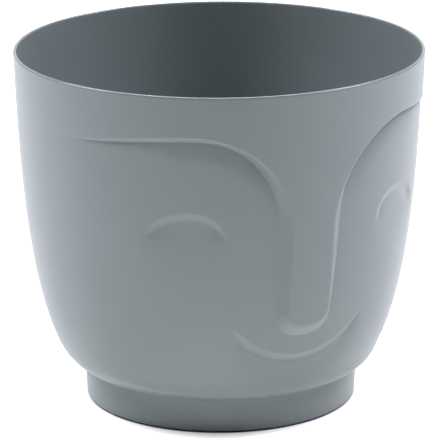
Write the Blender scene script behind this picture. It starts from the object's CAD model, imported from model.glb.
"""The looks of a head planter: a round bowl with a sleeping face, on a foot that is its drip tray."""

import logging
import math
from collections.abc import Callable, Iterable, Sequence
from dataclasses import dataclass, replace
from enum import Enum

import bmesh
import bpy
import numpy as np
from mathutils import Matrix, Vector
from mathutils.geometry import interpolate_bezier


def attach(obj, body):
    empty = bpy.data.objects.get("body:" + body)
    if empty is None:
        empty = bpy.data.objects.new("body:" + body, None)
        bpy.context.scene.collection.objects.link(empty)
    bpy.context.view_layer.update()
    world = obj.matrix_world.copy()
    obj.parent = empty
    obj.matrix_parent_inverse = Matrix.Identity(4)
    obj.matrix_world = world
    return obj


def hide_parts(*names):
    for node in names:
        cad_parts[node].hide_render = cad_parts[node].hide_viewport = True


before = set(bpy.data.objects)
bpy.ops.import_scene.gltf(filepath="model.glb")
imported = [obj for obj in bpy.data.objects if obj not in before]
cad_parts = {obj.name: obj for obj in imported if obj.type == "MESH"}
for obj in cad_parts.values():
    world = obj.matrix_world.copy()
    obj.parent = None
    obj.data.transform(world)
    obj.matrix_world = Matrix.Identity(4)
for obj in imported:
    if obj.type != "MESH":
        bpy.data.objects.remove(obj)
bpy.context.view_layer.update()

log = logging.getLogger("head_planter")

MM = 0.001
UP = Vector((0.0, 0.0, 1.0))
ORIGIN = Vector((0.0, 0.0, 0.0))
WHITE = (1.0, 1.0, 1.0, 1.0)
SHARP_ANGLE = math.radians(50.0)
BEVELLED_SHARP_ANGLE = math.radians(24.0)
FLAT_ANGLE = math.radians(1.0)
MERGE_DISTANCE = 0.001 * MM
PACKED_MERGE_DISTANCE = 0.005 * MM
CLOSE = 0.1 * MM
NOISE_RANGE = (0.3, 0.7)
PLACES_AT_ONCE = 20000
QUARTERS = 4


class Wall(Enum):
    """The two faces of the bowl's wall."""

    OUTER = "outer"
    INNER = "inner"


def linear_colour(code: str) -> tuple[float, float, float, float]:
    """Turn an sRGB hex colour into linear light.

    Args:
        code: Six hex digits after a hash mark.

    Returns:
        Red, green, blue and an alpha of one.
    """
    shares = [int(code[i : i + 2], 16) / 255 for i in (1, 3, 5)]
    red, green, blue = (c / 12.92 if c <= 0.04045 else ((c + 0.055) / 1.055) ** 2.4 for c in shares)
    return red, green, blue, 1.0


def add_node(
    tree: bpy.types.NodeTree, kind: str, settings: dict | None = None, **inputs: object
) -> bpy.types.Node:
    """Add a node, set its properties and fill or link its inputs.

    Args:
        tree: The node tree that the node joins.
        kind: The node's type name.
        settings: Properties of the node itself.
        **inputs: A value or an output socket for each input, by the input's name in lower case
            with underscores for spaces, or by input_ and its place where a name comes twice.

    Returns:
        The new node.
    """
    node = tree.nodes.new(kind)
    for name, value in (settings or {}).items():
        setattr(node, name, value)
    sockets = {}
    for position, socket in enumerate(node.inputs):
        sockets.setdefault(socket.name.lower().replace(" ", "_"), socket)
        sockets[f"input_{position}"] = socket
    for name, value in inputs.items():
        if isinstance(value, bpy.types.NodeSocket):
            tree.links.new(value, sockets[name])
        else:
            sockets[name].default_value = value
    return node


def blank_material(name: str) -> bpy.types.Material:
    """Add a material with an empty node tree.

    Args:
        name: The material's name.

    Returns:
        The new material.
    """
    material = bpy.data.materials.new(name)
    material.use_nodes = True
    material.node_tree.nodes.clear()
    return material


@dataclass(frozen=True)
class MouldedPlastic:
    """Polypropylene from a fine spark-eroded mould: satin, even in colour, with a soft sheen.

    The grain is finer than the picture can show, so it is drawn a little coarser. The mould's
    parting faces are polished, so the rim above the polish height catches a thin bright line.
    """

    name: str
    colour: str
    roughness: float = 0.4
    roughness_spread: float = 0.03
    polished_roughness: float = 0.13
    polish_height: float = 260.4 * MM
    polish_blend: float = 0.4 * MM
    ior: float = 1.49
    grain_size: float = 0.9 * MM
    grain_depth: float = 0.004 * MM
    flow_size: float = 60 * MM
    flow_tint: float = 0.035

    def build(self) -> bpy.types.Material:
        """Make the material with its flow marks, grain and uneven sheen.

        Returns:
            The new material.
        """
        material = blank_material(self.name)
        tree = material.node_tree
        place = add_node(tree, "ShaderNodeTexCoord").outputs["Object"]
        flow = add_node(
            tree, "ShaderNodeTexNoise", vector=place, scale=1 / self.flow_size, detail=2.0, roughness=0.5
        )
        grain = add_node(
            tree, "ShaderNodeTexNoise", vector=place, scale=1 / self.grain_size, detail=2.0, roughness=0.6
        )
        base = Vector(linear_colour(self.colour)[:3])
        pale = add_node(
            tree, "ShaderNodeMix", {"data_type": "RGBA"}, factor=flow.outputs["Fac"],
            input_6=(*(base * (1 - self.flow_tint)), 1.0), input_7=(*(base * (1 + self.flow_tint)), 1.0),
        )
        sheen = add_node(
            tree, "ShaderNodeMapRange", value=grain.outputs["Fac"],
            from_min=NOISE_RANGE[0], from_max=NOISE_RANGE[1],
            to_min=self.roughness - self.roughness_spread, to_max=self.roughness + self.roughness_spread,
        )
        height = add_node(tree, "ShaderNodeSeparateXYZ", vector=place).outputs["Z"]
        polish = add_node(
            tree, "ShaderNodeMapRange", value=height,
            from_min=self.polish_height, from_max=self.polish_height + self.polish_blend,
        )
        gloss = add_node(
            tree, "ShaderNodeMix", {"data_type": "FLOAT"}, input_0=polish.outputs["Result"],
            input_2=sheen.outputs["Result"], input_3=self.polished_roughness,
        )
        bump = add_node(
            tree, "ShaderNodeBump", height=grain.outputs["Fac"], distance=self.grain_depth, strength=1.0
        )
        plastic = add_node(
            tree, "ShaderNodeBsdfPrincipled", base_color=pale.outputs["Result"],
            roughness=gloss.outputs["Result"], ior=self.ior, normal=bump.outputs["Normal"],
        )
        add_node(tree, "ShaderNodeOutputMaterial", surface=plastic.outputs["BSDF"])
        return material


@dataclass(frozen=True)
class MouldedRubber:
    """Soft thermoplastic rubber: matt, dark, with a slightly uneven skin."""

    name: str
    colour: str
    roughness: float = 0.75
    ior: float = 1.52
    skin_size: float = 1.2 * MM
    skin_depth: float = 0.02 * MM

    def build(self) -> bpy.types.Material:
        """Make the material with its fine uneven skin.

        Returns:
            The new material.
        """
        material = blank_material(self.name)
        tree = material.node_tree
        place = add_node(tree, "ShaderNodeTexCoord").outputs["Object"]
        skin = add_node(
            tree, "ShaderNodeTexNoise", vector=place, scale=1 / self.skin_size, detail=3.0, roughness=0.6
        )
        bump = add_node(
            tree, "ShaderNodeBump", height=skin.outputs["Fac"], distance=self.skin_depth, strength=1.0
        )
        rubber = add_node(
            tree, "ShaderNodeBsdfPrincipled", base_color=linear_colour(self.colour),
            roughness=self.roughness, ior=self.ior, normal=bump.outputs["Normal"],
        )
        add_node(tree, "ShaderNodeOutputMaterial", surface=rubber.outputs["BSDF"])
        return material


def finish_piece(
    mesh_source: bmesh.types.BMesh, name: str, body: str, nodes: Sequence[str],
    material: bpy.types.Material, sharp_angle: float = SHARP_ANGLE,
) -> bpy.types.Object:
    """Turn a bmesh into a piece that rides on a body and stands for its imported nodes.

    Args:
        mesh_source: The finished geometry, which is freed.
        name: The piece's name.
        body: The body that it moves with.
        nodes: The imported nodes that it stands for.
        material: Its finish.
        sharp_angle: Edges that turn more than this are shaded sharp.

    Returns:
        The new object.
    """
    mesh = bpy.data.meshes.new(name)
    mesh_source.to_mesh(mesh)
    mesh_source.free()
    mesh.materials.append(material)
    mesh.shade_smooth()
    mesh.set_sharp_from_angle(angle=sharp_angle)
    piece = bpy.data.objects.new(name, mesh)
    bpy.context.scene.collection.objects.link(piece)
    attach(piece, body)
    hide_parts(*nodes)
    log.info("%s: %d faces on %s", name, len(mesh.polygons), body)
    return piece


def in_order(elements: Iterable) -> list:
    """Each element once, in the order of the first time it comes, so that each run is the same."""
    return list(dict.fromkeys(elements))


def spin_ring(
    bm: bmesh.types.BMesh, section: Sequence[tuple[float, float]], centre: Vector, steps: int
) -> None:
    """Spin a section into a closed ring, or into a solid where its ends lie on the axis.

    Args:
        bm: The mesh that it joins.
        section: Radius and height of each corner.
        centre: A point on the upright axis.
        steps: Faces round the axis.
    """
    present = set(bm.verts)
    dots = [bm.verts.new((centre.x + x, centre.y, z)) for x, z in section]
    pairs = list(zip(dots, dots[1:]))
    if section[0][0] > 0:
        pairs.append((dots[-1], dots[0]))
    edges = [bm.edges.new(pair) for pair in pairs]
    bmesh.ops.spin(
        bm, geom=[*dots, *edges], axis=UP, cent=centre, angle=math.tau, steps=steps, use_merge=True
    )
    made = [v for v in bm.verts if v not in present]
    bmesh.ops.remove_doubles(bm, verts=made, dist=MERGE_DISTANCE)
    made = [v for v in bm.verts if v not in present]
    faces = in_order(f for v in made for f in v.link_faces)
    bmesh.ops.recalc_face_normals(bm, faces=faces)


def ring_section(inner: float, outer: float, foot: float, top: float) -> list[tuple[float, float]]:
    """The four corners of a plain ring's section, as radius and height."""
    return [(inner, foot), (outer, foot), (outer, top), (inner, top)]


def round_corners(
    bm: bmesh.types.BMesh, corners: Sequence[bmesh.types.BMVert], radius: float, segments: int
) -> None:
    """Round corners of a section that is still a bare line.

    Args:
        bm: The mesh with the section.
        corners: Its vertices at the corners.
        radius: How far from the corner the rounding starts.
        segments: Edges along the rounding.
    """
    bmesh.ops.bevel(
        bm, geom=corners, offset=radius, segments=segments, profile=0.5, affect="VERTICES", material=-1
    )


def quarter_places(radius: float) -> list[Vector]:
    """Four places on a circle round the axis, each halfway between two of the frame's axes."""
    turns = [math.tau * (quarter + 0.5) / QUARTERS for quarter in range(QUARTERS)]
    return [Vector((math.cos(turn), math.sin(turn), 0)) * radius for turn in turns]


@dataclass(frozen=True)
class BowlSide:
    """The bowl's side in section: a tight turn above the foot, then a long curve to the rim."""

    foot_radius: float = 101.2 * MM
    foot_height: float = 25 * MM
    height: float = 262 * MM
    rim_radius: float = 150 * MM
    wall: float = 2.7 * MM
    turn_rise: float = 19.4 * MM
    turn_spread: float = 19.2 * MM
    turn_handle: float = 9.4 * MM
    low_handle: float = 65 * MM
    high_handle: float = 28 * MM
    foot_tilt: float = math.radians(65)
    turn_tilt: float = math.radians(25)
    rim_tilt: float = math.radians(4)
    fine_counts: tuple[int, int] = (200, 600)

    def spans(self, growth: float, foot_growth: float, inset: float) -> list[list[Vector]]:
        """The two cubic spans of the side, moved out by the growths and in by the inset.

        Args:
            growth: How much wider the turn's top and the rim are.
            foot_growth: How much wider the foot is.
            inset: How far the curve lies inside the outer one, along its normal.

        Returns:
            Four control points for each span, as radius and height.
        """
        tilts = (self.foot_tilt, self.turn_tilt, self.rim_tilt)
        out = [Vector((math.sin(t), math.cos(t))) for t in tilts]
        inwards = [Vector((-math.cos(t), math.sin(t))) for t in (self.foot_tilt, self.turn_tilt)]
        foot = Vector((self.foot_radius + foot_growth, self.foot_height)) + inwards[0] * inset
        turn_radius = self.foot_radius + self.turn_spread + growth
        turn_top = Vector((turn_radius, self.foot_height + self.turn_rise)) + inwards[1] * inset
        rim = Vector((self.rim_radius + growth - inset * math.cos(self.rim_tilt), self.height))
        return [
            [foot, foot + out[0] * self.turn_handle, turn_top - out[1] * self.turn_handle, turn_top],
            [turn_top, turn_top + out[1] * self.low_handle, rim - out[2] * self.high_handle, rim],
        ]

    def points(
        self, low_count: int, high_count: int, growth: float = 0.0, foot_growth: float = 0.0,
        inset: float = 0.0,
    ) -> list[Vector]:
        """Points along the side from the foot to the rim.

        Args:
            low_count: Points on the turn above the foot.
            high_count: Points on the long curve.
            growth: How much wider the turn's top and the rim are.
            foot_growth: How much wider the foot is.
            inset: How far the curve lies inside the outer one.

        Returns:
            Radius and height of each point.
        """
        low, high = self.spans(growth, foot_growth, inset)
        return [*interpolate_bezier(*low, low_count)[:-1], *interpolate_bezier(*high, high_count)]

    def radius_at(
        self, heights: np.ndarray, growth: float = 0.0, foot_growth: float = 0.0, inset: float = 0.0
    ) -> np.ndarray:
        """The side's radius at some heights.

        Args:
            heights: Heights above the floor.
            growth: How much wider the turn's top and the rim are.
            foot_growth: How much wider the foot is.
            inset: How far the curve lies inside the outer one.

        Returns:
            One radius for each height.
        """
        fine = self.points(*self.fine_counts, growth, foot_growth, inset)
        return np.interp(heights, [p.y for p in fine], [p.x for p in fine])


@dataclass(frozen=True)
class FlankLine:
    """One edge of the slope round the nose and the brows, in the front view.

    The line runs from below the nose's tip up its side, round the bend into the brow and out along
    the brow to the temple. The raised nose and forehead lie on its left.
    """

    tip: float
    tip_start: float
    nose_bottom: float
    nose_top: float
    crest: float
    tail_radius: float
    bend_power: float
    bend_height: float = 160 * MM
    crest_reach: float = 85 * MM
    tail_reach: float = 70 * MM
    corner_power: float = 2.5
    bend_count: int = 40
    tail_count: int = 24

    def points(self) -> np.ndarray:
        """Points along the line, from the middle of the tip to the temple.

        Returns:
            One row of distance from the middle plane and height for each point.
        """
        turn = np.linspace(0.0, math.pi / 2, self.bend_count)
        corner = np.column_stack(
            [
                self.nose_bottom * np.sin(turn) ** (2 / self.corner_power),
                self.tip_start - (self.tip_start - self.tip) * np.cos(turn) ** (2 / self.corner_power),
            ]
        )
        width, rise = self.crest_reach - self.nose_top, self.crest - self.bend_height
        bend = np.column_stack(
            [
                self.crest_reach - width * np.cos(turn) ** (2 / self.bend_power),
                self.bend_height + rise * np.sin(turn) ** (2 / self.bend_power),
            ]
        )
        run = np.linspace(0.0, self.tail_reach, self.tail_count)[1:]
        fall = self.crest - self.tail_radius + np.sqrt(self.tail_radius**2 - run**2)
        tail = np.column_stack([self.crest_reach + run, fall])
        return np.vstack([corner, bend, tail])

    def inset(self, wall: float) -> "FlankLine":
        """The same edge on the inside of the wall, where the nose is narrower by the wall."""
        return replace(
            self,
            tip=self.tip + wall,
            nose_bottom=self.nose_bottom - wall,
            nose_top=self.nose_top - wall,
            crest=self.crest + wall,
        )

    def upward(self, heights: np.ndarray) -> np.ndarray:
        """Zero beside the nose, one along the brow, with a smooth change over the bend."""
        return ease((heights - self.bend_height) / (self.crest - self.bend_height))

    def distance(self, across: np.ndarray, heights: np.ndarray) -> np.ndarray:
        """Signed distance from the line, positive on the side of the cheek.

        Args:
            across: Distance from the middle plane, as seen from the front.
            heights: Heights above the floor.

        Returns:
            One distance for each place.
        """
        path = self.points()
        starts, runs = path[:-1], np.diff(path, axis=0)
        lengths = (runs**2).sum(1)
        places = np.column_stack([across, heights])
        result = np.empty(len(places))
        for first in range(0, len(places), PLACES_AT_ONCE):
            block = places[first : first + PLACES_AT_ONCE]
            offset = block[:, None, :] - starts[None]
            share = np.clip((offset * runs).sum(2) / lengths, 0, 1)
            gap = offset - share[..., None] * runs
            squares = (gap**2).sum(2)
            nearest = squares.argmin(1)
            row = np.arange(len(block))
            run, away = runs[nearest], offset[row, nearest]
            side = run[:, 1] * away[:, 0] - run[:, 0] * away[:, 1]
            result[first : first + PLACES_AT_ONCE] = np.sqrt(squares[row, nearest]) * np.sign(side)
        return result


def ease(share: np.ndarray) -> np.ndarray:
    """Smooth step from zero to one over shares from zero to one."""
    held = np.clip(share, 0, 1)
    return held * held * (3 - 2 * held)


@dataclass(frozen=True)
class FaceRelief:
    """The sleeping face: set-back cheeks, the slopes round nose and brows, eyelids and a smile."""

    setback: float = 9.0 * MM
    foot_swell: float = 9.6 * MM
    temple: float = math.radians(68.5)
    fade: float = 0.5 * MM
    fade_end: float = 2 * MM
    ridge: FlankLine = FlankLine(
        tip=88.9 * MM, tip_start=101 * MM, nose_bottom=15.3 * MM, nose_top=15.3 * MM, crest=232.9 * MM,
        tail_radius=190 * MM, bend_power=1.9,
    )
    crease: FlankLine = FlankLine(
        tip=78.6 * MM, tip_start=97 * MM, nose_bottom=21.8 * MM, nose_top=24.8 * MM, crest=228.3 * MM,
        tail_radius=270 * MM, bend_power=2.02,
    )
    nose_rounding_share: float = 0.35
    brow_rounding_share: float = 0.3
    crease_softness: float = 0.01
    crease_run: float = 6 * MM
    socket_slope: float = 0.4
    socket_reach: float = 16 * MM
    socket_narrowing: tuple[float, float] = (85 * MM, 128 * MM)
    socket_outer_share: float = 0.25
    groove_slope: tuple[float, float, float] = (0.06, 0.2, 0.6)
    groove_reach: float = 3.2 * MM
    groove_share: float = 1 * MM
    eye_reach: float = 86.6 * MM
    lid_height: float = 151.2 * MM
    lid_radius: float = 26 * MM
    lash_height: float = 142.9 * MM
    lash_radius: float = 27 * MM
    eye_depth: float = 1.75 * MM
    eye_corner: float = 9 * MM
    eye_fade: float = 28 * MM
    eye_spread: float = 17 * MM
    eye_settle: float = 14 * MM
    eye_least_band: float = 0.2 * MM
    eye_edge_power: float = 0.8
    smile_height: float = 130.4 * MM
    smile_radius: float = 68.9 * MM
    smile_half_angle: float = math.radians(51.8)
    smile_corner: float = math.radians(9)
    smile_spread: float = 4.5 * MM
    smile_depth: float = 2.7 * MM
    smile_upper: float = 2.0 * MM
    smile_floor: float = 4.3 * MM
    smile_lower: float = 6.4 * MM
    smile_lower_share: float = 0.12
    smile_fade: float = 17 * MM
    smile_edge_power: float = 0.7

    def cheek_depth(
        self, side: BowlSide, turn: np.ndarray, heights: np.ndarray, inset: float
    ) -> np.ndarray:
        """How far the cheek's surface lies inside the bowl's.

        Args:
            side: The bowl's section.
            turn: Angle round the axis from the nose.
            heights: Heights above the floor.
            inset: Zero outside the wall, the wall's thickness inside it.

        Returns:
            One radial depth for each place, fading softly to zero at the temples.
        """
        swell = self.setback * math.cos(self.temple)
        wide = side.radius_at(heights, swell, self.foot_swell, inset)
        cheek = np.sqrt(wide**2 - (self.setback * np.sin(turn)) ** 2) - self.setback * np.cos(turn)
        depth = side.radius_at(heights, inset=inset) - cheek
        return (depth + np.sqrt(depth**2 + self.fade**2)) / 2 * (depth > -self.fade_end)

    def flank_share(self, across: np.ndarray, heights: np.ndarray, inset: float) -> np.ndarray:
        """How much of the cheek's depth is reached: zero on nose and forehead, one on the cheek.

        Args:
            across: Distance from the middle plane, as seen from the front.
            heights: Heights above the floor.
            inset: Zero outside the wall, the wall's thickness inside it.

        Returns:
            One share for each place, with a round shoulder at the ridge and a tight crease.
        """
        ridge, crease = self.ridge, self.crease
        if inset:
            ridge, crease = ridge.inset(inset), crease.inset(inset)
        from_ridge = ridge.distance(across, heights)
        from_crease = crease.distance(across, heights)
        between = from_ridge / np.maximum(from_ridge - from_crease, CLOSE)
        between = np.where(from_crease >= 0, 1.0, np.where(from_ridge <= 0, 0.0, between))
        change = self.brow_rounding_share - self.nose_rounding_share
        rounding = self.nose_rounding_share + change * ridge.upward(heights)
        steep = 1 / (2 * rounding - rounding**2)
        shoulder = steep * between**2
        slope = np.where(between < rounding, shoulder, 1 - 2 * steep * rounding * (1 - between))
        slope = np.where(from_crease >= 0, 1 + from_crease / self.crease_run, slope)
        soft = self.crease_softness
        held = (slope + 1 - np.sqrt((slope - 1) ** 2 + soft**2)) / 2
        return np.clip(held, 0, 1)

    def towards_temple(self, across: np.ndarray) -> np.ndarray:
        """Zero over the eye's inner half, one at the brow's outer end, with a smooth change."""
        start, end = self.socket_narrowing
        return ease((across - start) / (end - start))

    def socket_depth(self, across: np.ndarray, heights: np.ndarray, inset: float) -> np.ndarray:
        """Extra depth of the eye socket, which sinks towards the brow above it.

        Args:
            across: Distance from the middle plane, as seen from the front.
            heights: Heights above the floor.
            inset: Zero outside the wall, the wall's thickness inside it.

        Returns:
            One depth for each place, before it is scaled by the square of the cheek's share.
        """
        crease = self.crease.inset(inset) if inset else self.crease
        narrowing = (1 - self.socket_outer_share) * self.towards_temple(across)
        reach = self.socket_reach * (1 - narrowing)
        away = np.clip(crease.distance(across, heights) / reach, 0, 1)
        return self.socket_slope * reach * (2 / 3 - away + away**3 / 3) * crease.upward(heights)

    def groove_depth(self, depth: np.ndarray, across: np.ndarray, heights: np.ndarray) -> np.ndarray:
        """Extra depth of the narrow groove along the crease: faint at the nose, clear at the temple.

        Args:
            depth: Depth of the cheek without it, which it fades out with.
            across: Distance from the middle plane, as seen from the front.
            heights: Heights above the floor.

        Returns:
            One depth for each place.
        """
        crease = self.crease
        away = np.abs(crease.distance(across, heights)) / self.groove_reach
        beside, inner, outer = self.groove_slope
        slope = beside + (inner - beside) * crease.upward(heights)
        slope += (outer - inner) * self.towards_temple(across)
        slope = slope * ease((heights - crease.tip) / (crease.tip_start - crease.tip))
        slope = slope * depth / (depth + self.groove_share)
        return slope * self.groove_reach / 2 * np.maximum(1 - away, 0) ** 2

    def eye_depth_at(self, across: np.ndarray, heights: np.ndarray) -> np.ndarray:
        """Depth of the step under each closed eyelid.

        Args:
            across: Distance from the middle plane, as seen from the front.
            heights: Heights above the floor.

        Returns:
            One depth for each place.
        """
        beside = np.abs(across - self.eye_reach)
        lid = self.lid_height + np.sqrt(np.maximum(self.lid_radius**2 - beside**2, 0))
        lash = self.lash_height + np.sqrt(np.maximum(self.lash_radius**2 - beside**2, 0))
        band = np.maximum(lid - lash, self.eye_least_band)
        step = ease(np.clip((lid - heights) / band, 0, 1) ** self.eye_edge_power)
        ends = ease((self.lid_radius - beside) / self.eye_corner)
        below = np.maximum(lash - heights, 0)
        settled = (beside / self.eye_spread) ** 2 * ease(below / self.eye_settle)
        return self.eye_depth * step * ends * np.exp(-((below / self.eye_fade) ** 2) - settled)

    def smile_depth_at(self, across: np.ndarray, heights: np.ndarray) -> np.ndarray:
        """Depth of the smile: a step in along its upper edge, a small step out and a long fade.

        Args:
            across: Distance from the middle plane, as seen from the front.
            heights: Heights above the floor.

        Returns:
            One depth for each place.
        """
        below = np.hypot(across, heights - self.smile_height) - self.smile_radius
        angle = np.arctan2(across, self.smile_height - heights)
        corner = self.smile_corner * (1 + np.maximum(below, 0) / self.smile_spread)
        ends = ease((self.smile_half_angle - angle) / corner)
        band = self.smile_upper + self.smile_floor
        entry = ease(np.clip((below + self.smile_upper) / band, 0, 1) ** self.smile_edge_power)
        rise = ease((self.smile_lower - below) / (self.smile_lower - self.smile_floor))
        fade = np.exp(-((np.maximum(below - self.smile_floor, 0) / self.smile_fade) ** 2))
        held = self.smile_lower_share * rise + (1 - self.smile_lower_share) * fade
        return self.smile_depth * entry * held * ends * (angle < self.smile_half_angle)

    def depth(self, side: BowlSide, places: np.ndarray, wall: Wall) -> np.ndarray:
        """Radial depth of the relief at places on the undisturbed wall.

        Args:
            side: The bowl's section.
            places: One row of X, Y and Z for each place.
            wall: The face of the wall that the places lie on.

        Returns:
            One depth for each place.
        """
        inset = 0.0 if wall is Wall.OUTER else side.wall
        turn = np.abs(np.arctan2(places[:, 0], -places[:, 1]))
        across, heights = np.abs(places[:, 0]), places[:, 2]
        depth = self.cheek_depth(side, turn, heights, inset)
        fullest = self.setback * (1 - math.cos(self.temple))
        depth += self.socket_depth(across, heights, inset) * (depth / fullest) ** 2
        if wall is Wall.OUTER:
            depth += self.groove_depth(depth, across, heights)
        depth *= self.flank_share(across, heights, inset)
        depth += self.eye_depth_at(across, heights) + self.smile_depth_at(across, heights)
        return np.where(turn < math.pi / 2, depth, 0.0)


# Chooses faces from their centres and a mask for the outer face of the wall.
FaceRule = Callable[[np.ndarray, np.ndarray], np.ndarray]


@dataclass
class PotBowl:
    """The bowl with its face: one moulded shell with a floor, drain holes, spigot ring and ribs."""

    material: bpy.types.Material
    side: BowlSide = BowlSide()
    face: FaceRelief = FaceRelief()
    columns: int = 160
    side_counts: tuple[int, int] = (8, 38)
    lip_steps: int = 10
    spigot_outer: float = 96.9 * MM
    spigot_inner: float = 94.5 * MM
    spigot_foot: float = 14 * MM
    hole_radius: float = 6 * MM
    hole_circle: float = 60 * MM
    hole_segments: int = 40
    rib_count: int = 8
    rib_thickness: float = 2 * MM
    rib_foot: float = 21 * MM
    rib_sink: float = 0.8 * MM
    hub_radius: float = 12 * MM
    hub_wall: float = 2 * MM
    hub_segments: int = 48
    gate_radius: float = 2.5 * MM
    gate_depth: float = 1.2 * MM
    gate_chamfer: float = 0.25 * MM
    gate_segments: int = 32
    relief_zone: tuple[float, float] = (27 * MM, 238 * MM)
    eye_zone_foot: float = 156 * MM
    smile_zone_share: float = 1.05
    wide_reach: tuple[float, float] = (12 * MM, 6 * MM)
    tight_reach: float = 3 * MM
    crease_reach: float = 1.2 * MM

    def section(self) -> list[Vector]:
        """The wall's section: up the inside from the floor, over the rim and down the outside.

        Returns:
            Radius and height of each corner.
        """
        side = self.side
        outer = side.points(*self.side_counts)
        inner = side.points(*self.side_counts, inset=side.wall)
        half = side.wall / 2
        lip_start = side.height - half
        outer = [p for p in outer if p.y < lip_start]
        inner = [p for p in inner if p.y < lip_start]
        middle = Vector((side.rim_radius - half - half * math.sin(side.rim_tilt), lip_start))
        angles = [math.pi * (1 - i / self.lip_steps) for i in range(self.lip_steps + 1)]
        lip = [middle + Vector((math.cos(a), math.sin(a))) * half for a in angles]
        shoulder = [
            Vector((self.spigot_outer, side.foot_height)),
            Vector((self.spigot_outer, self.spigot_foot)),
            Vector((self.spigot_inner, self.spigot_foot)),
            Vector((self.spigot_inner, side.foot_height)),
        ]
        return [*inner, *lip, *reversed(outer), *shoulder]

    def spun_wall(self) -> bmesh.types.BMesh:
        """Spin the section once round the axis.

        Returns:
            The wall, open at both edges of the floor.
        """
        bm = bmesh.new()
        dots = [bm.verts.new((p.x, 0.0, p.y)) for p in self.section()]
        edges = [bm.edges.new(pair) for pair in zip(dots, dots[1:])]
        bmesh.ops.spin(
            bm, geom=[*dots, *edges], axis=UP, cent=ORIGIN, angle=math.tau, steps=self.columns,
            use_merge=True,
        )
        return bm

    def close_floor(self, bm: bmesh.types.BMesh) -> None:
        """Fill the floor's upper and lower face round the drain holes and line the holes.

        Args:
            bm: The spun wall.
        """
        rims = [e for e in bm.edges if e.is_boundary]
        top = self.side.points(2, 2, inset=self.side.wall)[0].y
        rings = []
        for height in (top, self.side.foot_height):
            loops = [e for e in rims if abs(e.verts[0].co.z - height) < CLOSE]
            for place in quarter_places(self.hole_circle):
                made = bmesh.ops.create_circle(
                    bm, cap_ends=False, radius=self.hole_radius, segments=self.hole_segments,
                    matrix=Matrix.Translation(place + UP * height),
                )
                ring = in_order(e for v in made["verts"] for e in v.link_edges)
                loops += ring
                rings.append(ring)
            bmesh.ops.triangle_fill(bm, use_beauty=True, edges=loops, normal=UP)
        for upper, lower in zip(rings[:QUARTERS], rings[QUARTERS:]):
            bmesh.ops.bridge_loops(bm, edges=[*upper, *lower])

    def is_wall(self, places: np.ndarray) -> tuple[np.ndarray, np.ndarray]:
        """Which places lie on the outer and which on the inner face of the side.

        Args:
            places: One row of X, Y and Z for each place.

        Returns:
            A mask for the outer face and one for the inner.
        """
        side = self.side
        radius = np.hypot(places[:, 0], places[:, 1])
        heights = places[:, 2]
        middle = (side.radius_at(heights) + side.radius_at(heights, inset=side.wall)) / 2
        below_lip = heights < side.height - side.wall
        outside = below_lip & (heights > side.foot_height + CLOSE / 2)
        inside = below_lip & (heights > side.foot_height + side.wall) & (radius > side.foot_radius)
        return outside & (radius > middle), inside & (radius <= middle)

    def settle(self, bm: bmesh.types.BMesh) -> None:
        """Put every vertex of the side exactly on its curve.

        Args:
            bm: The bowl.
        """
        places = np.array([v.co for v in bm.verts])
        radius = np.hypot(places[:, 0], places[:, 1])
        for mask, inset in zip(self.is_wall(places), (0.0, self.side.wall)):
            target = self.side.radius_at(places[:, 2], inset=inset)
            scale = np.where(mask, target / np.maximum(radius, MM), 1.0)
            places[:, :2] *= scale[:, None]
        for vert, place in zip(bm.verts, places):
            vert.co = place

    def refine(self, bm: bmesh.types.BMesh, chosen: FaceRule) -> None:
        """Halve the faces of the side that a rule chooses.

        Args:
            bm: The bowl.
            chosen: Takes the faces' centres and a mask for the outer face of the wall, and gives
                the mask of the faces to divide.
        """
        bm.faces.ensure_lookup_table()
        centres = np.array([f.calc_center_median() for f in bm.faces])
        outer, inner = self.is_wall(centres)
        front = (outer | inner) & (centres[:, 1] < 0)
        front &= (centres[:, 2] > self.relief_zone[0]) & (centres[:, 2] < self.relief_zone[1])
        pick = front & chosen(centres, outer)
        edges = in_order(e for face, take in zip(bm.faces, pick) if take for e in face.edges)
        bmesh.ops.subdivide_edges(bm, edges=edges, cuts=1, use_grid_fill=True, use_single_edge=True)
        self.settle(bm)

    def near_lines(self, reach: float, inner_reach: float) -> FaceRule:
        """A rule that chooses faces near the slopes, the eyelids and the smile.

        Args:
            reach: Distance from the relief's edges on the outside of the wall.
            inner_reach: The same on the inside. Minus infinity leaves the inside as it is.

        Returns:
            The rule.
        """
        face = self.face

        def rule(centres: np.ndarray, outer: np.ndarray) -> np.ndarray:
            """Mark the faces within reach of the relief's edges.

            Args:
                centres: The faces' centres.
                outer: A mask for the outer face of the wall.

            Returns:
                The mask of the faces to divide.
            """
            across, heights = np.abs(centres[:, 0]), centres[:, 2]
            limit = np.where(outer, reach, inner_reach)
            near = (face.ridge.distance(across, heights) > -limit) & (
                face.crease.distance(across, heights) < limit
            )
            beside = across - face.eye_reach
            lid = face.lid_radius - np.hypot(beside, heights - face.lid_height)
            lash = face.lash_radius - np.hypot(beside, heights - face.lash_height)
            eye = (lid > -limit / 2) & (lash < limit / 2) & (heights > self.eye_zone_foot)
            below = np.hypot(across, heights - face.smile_height) - face.smile_radius
            angle = np.arctan2(across, face.smile_height - heights)
            smile = (below > -face.smile_upper - limit / 2) & (below < face.smile_lower + limit / 2)
            smile &= angle < face.smile_half_angle * self.smile_zone_share
            return near | (outer & (eye | smile))

        return rule

    def near_crease(self, reach: float) -> FaceRule:
        """A rule that chooses faces on the outside close to the crease, to keep it crisp.

        Args:
            reach: Distance from the crease.

        Returns:
            The rule.
        """

        def rule(centres: np.ndarray, outer: np.ndarray) -> np.ndarray:
            """Mark the faces within reach of the crease."""
            gap = self.face.crease.distance(np.abs(centres[:, 0]), centres[:, 2])
            return outer & (np.abs(gap) < reach)

        return rule

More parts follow.
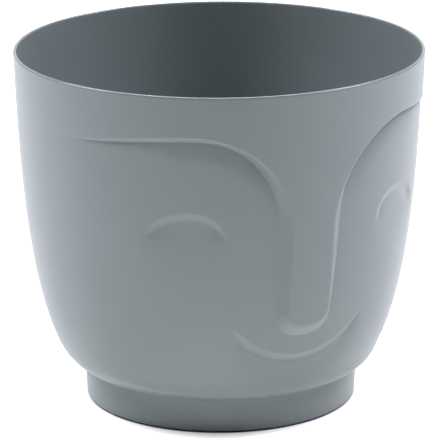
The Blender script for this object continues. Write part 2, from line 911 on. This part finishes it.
    def press_face(self, bm: bmesh.types.BMesh) -> None:
        """Press the relief into both faces of the wall.

        Args:
            bm: The bowl.
        """
        places = np.array([v.co for v in bm.verts])
        radius = np.hypot(places[:, 0], places[:, 1])
        for mask, wall in zip(self.is_wall(places), Wall):
            depth = np.zeros(len(places))
            depth[mask] = self.face.depth(self.side, places[mask], wall)
            places[:, :2] *= (1 - depth / np.maximum(radius, MM))[:, None]
        for vert, place in zip(bm.verts, places):
            vert.co = place

    def add_ribs(self, bm: bmesh.types.BMesh) -> None:
        """Add the stiffening ribs, the hub ring and the gate mark under the floor.

        Args:
            bm: The bowl.
        """
        top = self.side.foot_height + self.rib_sink
        height = top - self.rib_foot
        reach = (self.spigot_outer + self.spigot_inner) / 2 - self.hub_radius + self.hub_wall / 2
        for rib in range(self.rib_count):
            turn = Matrix.Rotation(math.tau * (rib + 0.5) / self.rib_count, 4, "Z")
            centre = Vector((self.hub_radius - self.hub_wall / 2 + reach / 2, 0, top - height / 2))
            size = Matrix.Diagonal((reach, self.rib_thickness, height, 1.0))
            bmesh.ops.create_cube(bm, size=1.0, matrix=turn @ Matrix.Translation(centre) @ size)
        hub = ring_section(self.hub_radius - self.hub_wall, self.hub_radius, self.rib_foot, top)
        spin_ring(bm, hub, ORIGIN, self.hub_segments)
        gate_foot = self.side.foot_height - self.gate_depth
        gate = [
            (0.0, gate_foot),
            (self.gate_radius - self.gate_chamfer, gate_foot),
            (self.gate_radius, gate_foot + self.gate_chamfer),
            (self.gate_radius, top),
            (0.0, top),
        ]
        spin_ring(bm, gate, ORIGIN, self.gate_segments)

    def build(self) -> bpy.types.Object:
        """Make the whole bowl.

        Returns:
            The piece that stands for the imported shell.
        """
        bm = self.spun_wall()
        self.close_floor(bm)
        bmesh.ops.remove_doubles(bm, verts=bm.verts, dist=MERGE_DISTANCE)
        self.refine(bm, lambda centres, outer: np.ones(len(centres), bool))
        self.refine(bm, self.near_lines(*self.wide_reach))
        self.refine(bm, self.near_lines(self.tight_reach, -math.inf))
        self.refine(bm, self.near_crease(self.crease_reach))
        bmesh.ops.recalc_face_normals(bm, faces=bm.faces)
        self.press_face(bm)
        self.add_ribs(bm)
        return finish_piece(bm, "pot_bowl", "pot", ["pot_shell"], self.material)


@dataclass
class DripTray:
    """The foot: a shallow tray that catches the water, seen as a plain band below the bowl."""

    material: bpy.types.Material
    columns: int = 256
    top_radius: float = 100.9 * MM
    bottom_radius: float = 99.7 * MM
    height: float = 25 * MM
    wall: float = 3 * MM
    floor_low: float = 2.5 * MM
    floor_high: float = 4.7 * MM
    ground_gap: float = 1 * MM
    foot_corner: float = 1.2 * MM
    foot_corner_segments: int = 6
    rim_corner: float = 0.35 * MM
    rim_corner_segments: int = 3
    basin_corner: float = 2.8 * MM
    basin_corner_segments: int = 5
    pad_circle: float = 78 * MM
    pad_ring: tuple[float, float] = (8.4 * MM, 9.8 * MM)
    pad_ring_foot: float = 1.2 * MM
    pad_ring_sink: float = 0.6 * MM
    pad_ring_segments: int = 48

    def build(self) -> bpy.types.Object:
        """Spin the tray's section and add the rings that hold the pads.

        Returns:
            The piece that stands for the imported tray.
        """
        skirt = self.bottom_radius - self.wall
        section = [
            (0.0, self.floor_low),
            (skirt, self.floor_low),
            (skirt, self.ground_gap),
            (self.bottom_radius, self.ground_gap),
            (self.top_radius, self.height),
            (self.top_radius - self.wall, self.height),
            (skirt, self.floor_high),
            (0.0, self.floor_high),
        ]
        bm = bmesh.new()
        dots = [bm.verts.new((x, 0.0, z)) for x, z in section]
        for pair in zip(dots, dots[1:]):
            bm.edges.new(pair)
        foot_edge, *rim_edges, basin_edge = dots[3:7]
        round_corners(bm, [basin_edge], self.basin_corner, self.basin_corner_segments)
        round_corners(bm, [foot_edge], self.foot_corner, self.foot_corner_segments)
        round_corners(bm, rim_edges, self.rim_corner, self.rim_corner_segments)
        bmesh.ops.spin(
            bm, geom=[*bm.verts, *bm.edges], axis=UP, cent=ORIGIN, angle=math.tau, steps=self.columns,
            use_merge=True,
        )
        ring = ring_section(*self.pad_ring, self.pad_ring_foot, self.floor_low + self.pad_ring_sink)
        for place in quarter_places(self.pad_circle):
            spin_ring(bm, ring, place, self.pad_ring_segments)
        bmesh.ops.remove_doubles(bm, verts=bm.verts, dist=MERGE_DISTANCE)
        bmesh.ops.recalc_face_normals(bm, faces=bm.faces)
        return finish_piece(bm, "foot_tray", "base", ["drip_tray"], self.material)


@dataclass
class MouldedInsert:
    """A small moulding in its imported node's own shape, with its hard edges rounded.

    The grate, the plugs and the pads are made this way.
    """

    node: str
    name: str
    body: str
    slot: str
    material: bpy.types.Material
    edge_radius: float
    edge_segments: int = 2

    def build(self) -> bpy.types.Object:
        """Copy the node, merge its loose triangles and round its edges.

        Returns:
            The piece that stands for the node.
        """
        bm = bmesh.new()
        bm.from_mesh(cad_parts[self.node].data)
        bmesh.ops.remove_doubles(bm, verts=bm.verts, dist=PACKED_MERGE_DISTANCE)
        bmesh.ops.dissolve_limit(bm, angle_limit=FLAT_ANGLE, verts=bm.verts, edges=bm.edges)
        hard = [e for e in bm.edges if e.is_manifold and e.calc_face_angle(0.0) > SHARP_ANGLE]
        bmesh.ops.bevel(
            bm, geom=hard, offset=self.edge_radius, segments=self.edge_segments, profile=0.5,
            affect="EDGES", clamp_overlap=True, material=-1,
        )
        return finish_piece(
            bm, self.name, self.body, [self.node], self.material, BEVELLED_SHARP_ANGLE
        )


@dataclass(frozen=True)
class Softbox:
    """A square studio lamp with a cloth front, aimed at the pot.

    Its azimuth is counted from the camera's side of the pot. A lamp of a pair has its twin at the
    same place on the other side.
    """

    name: str
    power: float
    azimuth: float
    elevation: float
    colour: str = "#F1F0FF"
    distance: float = 2.5
    width: float = 1.0
    paired: bool = True

    def place(self, camera_azimuth: float, aim: Vector) -> None:
        """Set the lamp and its twin up round the pot.

        Args:
            camera_azimuth: The camera's own azimuth.
            aim: The point that the lamps face.
        """
        for side in (1, -1) if self.paired else (1,):
            turn = camera_azimuth + side * self.azimuth
            direction = Vector((math.sin(turn), -math.cos(turn), 0)) * math.cos(self.elevation)
            direction += UP * math.sin(self.elevation)
            data = bpy.data.lights.new(self.name, "AREA")
            data.shape = "SQUARE"
            data.size = self.width
            data.energy = self.power
            data.color = linear_colour(self.colour)[:3]
            lamp = bpy.data.objects.new(self.name, data)
            lamp.location = aim + direction * self.distance
            lamp.rotation_mode = "QUATERNION"
            lamp.rotation_quaternion = direction.to_track_quat("Z", "Y")
            lamp.visible_camera = False
            bpy.context.scene.collection.objects.link(lamp)


@dataclass
class Studio:
    """A light table in a dark room with soft lamps beside and behind, and the photograph's camera.

    The table's level for the camera and gloss makes the white background. It fades to dark under the
    foot and a little in a soft shadow in front of it. Its glow is the light that it gives the pot.
    """

    azimuth: float = math.radians(-27.45)
    distance: float = 2.490
    height: float = 0.8666
    aim: float = 0.1307
    roll: float = 0.0049
    lens: float = 288.05
    sensor: float = 36.0
    floor_reach: float = 5.0
    floor_segments: int = 64
    floor_colour: str = "#F0F0F0"
    background_level: float = 1.0
    floor_level: float = 0.96
    contact_reach: tuple[float, float] = (98.5 * MM, 100.7 * MM)
    shadow_level: float = 0.42
    shadow_reach: tuple[float, float] = (84 * MM, 103 * MM)
    shadow_shift: float = 16 * MM
    glow_level: float = 0.41
    glow_reach: tuple[float, float] = (104 * MM, 145 * MM)
    ambient_level: float = 0.0
    softboxes: tuple[Softbox, ...] = (
        Softbox("side_softbox", 44.0, math.radians(98), math.radians(48)),
        Softbox("rear_softbox", 34.0, math.radians(180), math.radians(48), paired=False),
    )

    def add_camera(self) -> None:
        """Place the camera where the photograph was taken from."""
        data = bpy.data.cameras.new("camera")
        data.lens = self.lens
        data.sensor_width = self.sensor
        camera = bpy.data.objects.new("camera", data)
        bpy.context.scene.collection.objects.link(camera)
        place = Vector(
            (self.distance * math.sin(self.azimuth), -self.distance * math.cos(self.azimuth), self.height)
        )
        sight = Vector((0, 0, self.aim)) - place
        turn = sight.to_track_quat("-Z", "Y").to_matrix() @ Matrix.Rotation(-self.roll, 3, "Z")
        camera.matrix_world = Matrix.Translation(place) @ turn.to_4x4()
        bpy.context.scene.camera = camera

    def add_floor(self) -> None:
        """Lay the light table: white acrylic that glows a little, but not below the foot."""
        bm = bmesh.new()
        bmesh.ops.create_circle(
            bm, cap_ends=True, radius=self.floor_reach, segments=self.floor_segments
        )
        mesh = bpy.data.meshes.new("table_top")
        bm.to_mesh(mesh)
        bm.free()
        floor = bpy.data.objects.new("table_top", mesh)
        bpy.context.scene.collection.objects.link(floor)
        material = blank_material("white_table_top")
        tree = material.node_tree
        paint = add_node(tree, "ShaderNodeBsdfDiffuse", color=linear_colour(self.floor_colour))
        place = add_node(tree, "ShaderNodeTexCoord").outputs["Object"]
        forward = Vector((math.sin(self.azimuth), -math.cos(self.azimuth), 0)) * self.shadow_shift
        shifted = add_node(
            tree, "ShaderNodeVectorMath", {"operation": "SUBTRACT"}, input_0=place, input_1=forward
        )
        glow, contact, shadow = (
            add_node(
                tree,
                "ShaderNodeMapRange",
                {"interpolation_type": "SMOOTHSTEP"},
                value=add_node(
                    tree, "ShaderNodeVectorMath", {"operation": "LENGTH"}, input_0=spot
                ).outputs["Value"],
                from_min=ends[0],
                from_max=ends[1],
                to_min=levels[0],
                to_max=levels[1],
            ).outputs["Result"]
            for spot, ends, levels in (
                (place, self.glow_reach, (0.0, self.glow_level)),
                (place, self.contact_reach, (0.0, self.floor_level)),
                (shifted.outputs["Vector"], self.shadow_reach, (self.shadow_level, 1.0)),
            )
        )
        seen = add_node(
            tree, "ShaderNodeMath", {"operation": "MULTIPLY"}, input_0=contact, input_1=shadow
        )
        level = add_node(
            tree, "ShaderNodeMix", {"data_type": "FLOAT"}, input_0=self.seen_by_camera(tree),
            input_2=glow, input_3=seen.outputs[0],
        )
        white = add_node(
            tree, "ShaderNodeEmission", color=WHITE, strength=level.outputs["Result"]
        )
        both = add_node(
            tree, "ShaderNodeAddShader", input_0=paint.outputs["BSDF"], input_1=white.outputs["Emission"]
        )
        add_node(tree, "ShaderNodeOutputMaterial", surface=both.outputs["Shader"])
        mesh.materials.append(material)

    def seen_by_camera(self, tree: bpy.types.NodeTree) -> bpy.types.NodeSocket:
        """One for rays of the camera, gloss and transmission, zero for the light that the stage gives.

        Args:
            tree: The node tree that the nodes join.

        Returns:
            The output socket with that level.
        """
        path = add_node(tree, "ShaderNodeLightPath").outputs
        seen = path["Is Camera Ray"]
        for kind in ("Is Glossy Ray", "Is Transmission Ray"):
            seen = add_node(
                tree, "ShaderNodeMath", {"operation": "MAXIMUM"}, input_0=seen, input_1=path[kind]
            ).outputs[0]
        return seen

    def add_world(self) -> None:
        """Leave the room dark for the light on the pot; the camera and gloss see it white."""
        world = bpy.data.worlds.new("studio_room")
        bpy.context.scene.world = world
        world.use_nodes = True
        tree = world.node_tree
        tree.nodes.clear()
        room = add_node(tree, "ShaderNodeBackground", color=WHITE, strength=self.ambient_level)
        cloth = add_node(tree, "ShaderNodeBackground", color=WHITE, strength=self.background_level)
        mixed = add_node(
            tree, "ShaderNodeMixShader", fac=self.seen_by_camera(tree), input_1=room.outputs[0],
            input_2=cloth.outputs[0],
        )
        add_node(tree, "ShaderNodeOutputWorld", surface=mixed.outputs["Shader"])

    def add_softboxes(self) -> None:
        """Set up the lamps."""
        for softbox in self.softboxes:
            softbox.place(self.azimuth, UP * self.aim)

    def build(self) -> None:
        """Set the stage and the colour management."""
        self.add_camera()
        self.add_floor()
        self.add_world()
        self.add_softboxes()
        bpy.context.scene.view_settings.view_transform = "Standard"


def main() -> None:
    """Build and dress every piece."""
    logging.basicConfig(level=logging.INFO, format="%(name)s: %(message)s")
    pot_plastic = MouldedPlastic("grey_polypropylene", "#8F9997").build()
    grate_plastic = MouldedPlastic("grate_polypropylene", "#7F8786").build()
    plug_rubber = MouldedRubber("plug_rubber", "#3A3C3E").build()
    pad_rubber = MouldedRubber("pad_rubber", "#262728").build()
    Studio().build()
    PotBowl(pot_plastic).build()
    DripTray(pot_plastic).build()
    MouldedInsert(
        "drainage_grate", "soil_grate", "grate", "grate_plastic", grate_plastic, edge_radius=0.25 * MM
    ).build()
    for number in range(1, QUARTERS + 1):
        plug = f"plug_{number}"
        MouldedInsert(
            f"drain_plug_{number}", plug, plug, "plug_rubber", plug_rubber, edge_radius=0.3 * MM
        ).build()
        MouldedInsert(
            f"foot_pad_{number}", f"pad_{number}", "base", "pad_rubber", pad_rubber, edge_radius=0.2 * MM
        ).build()


if __name__ == "__main__":
    main()
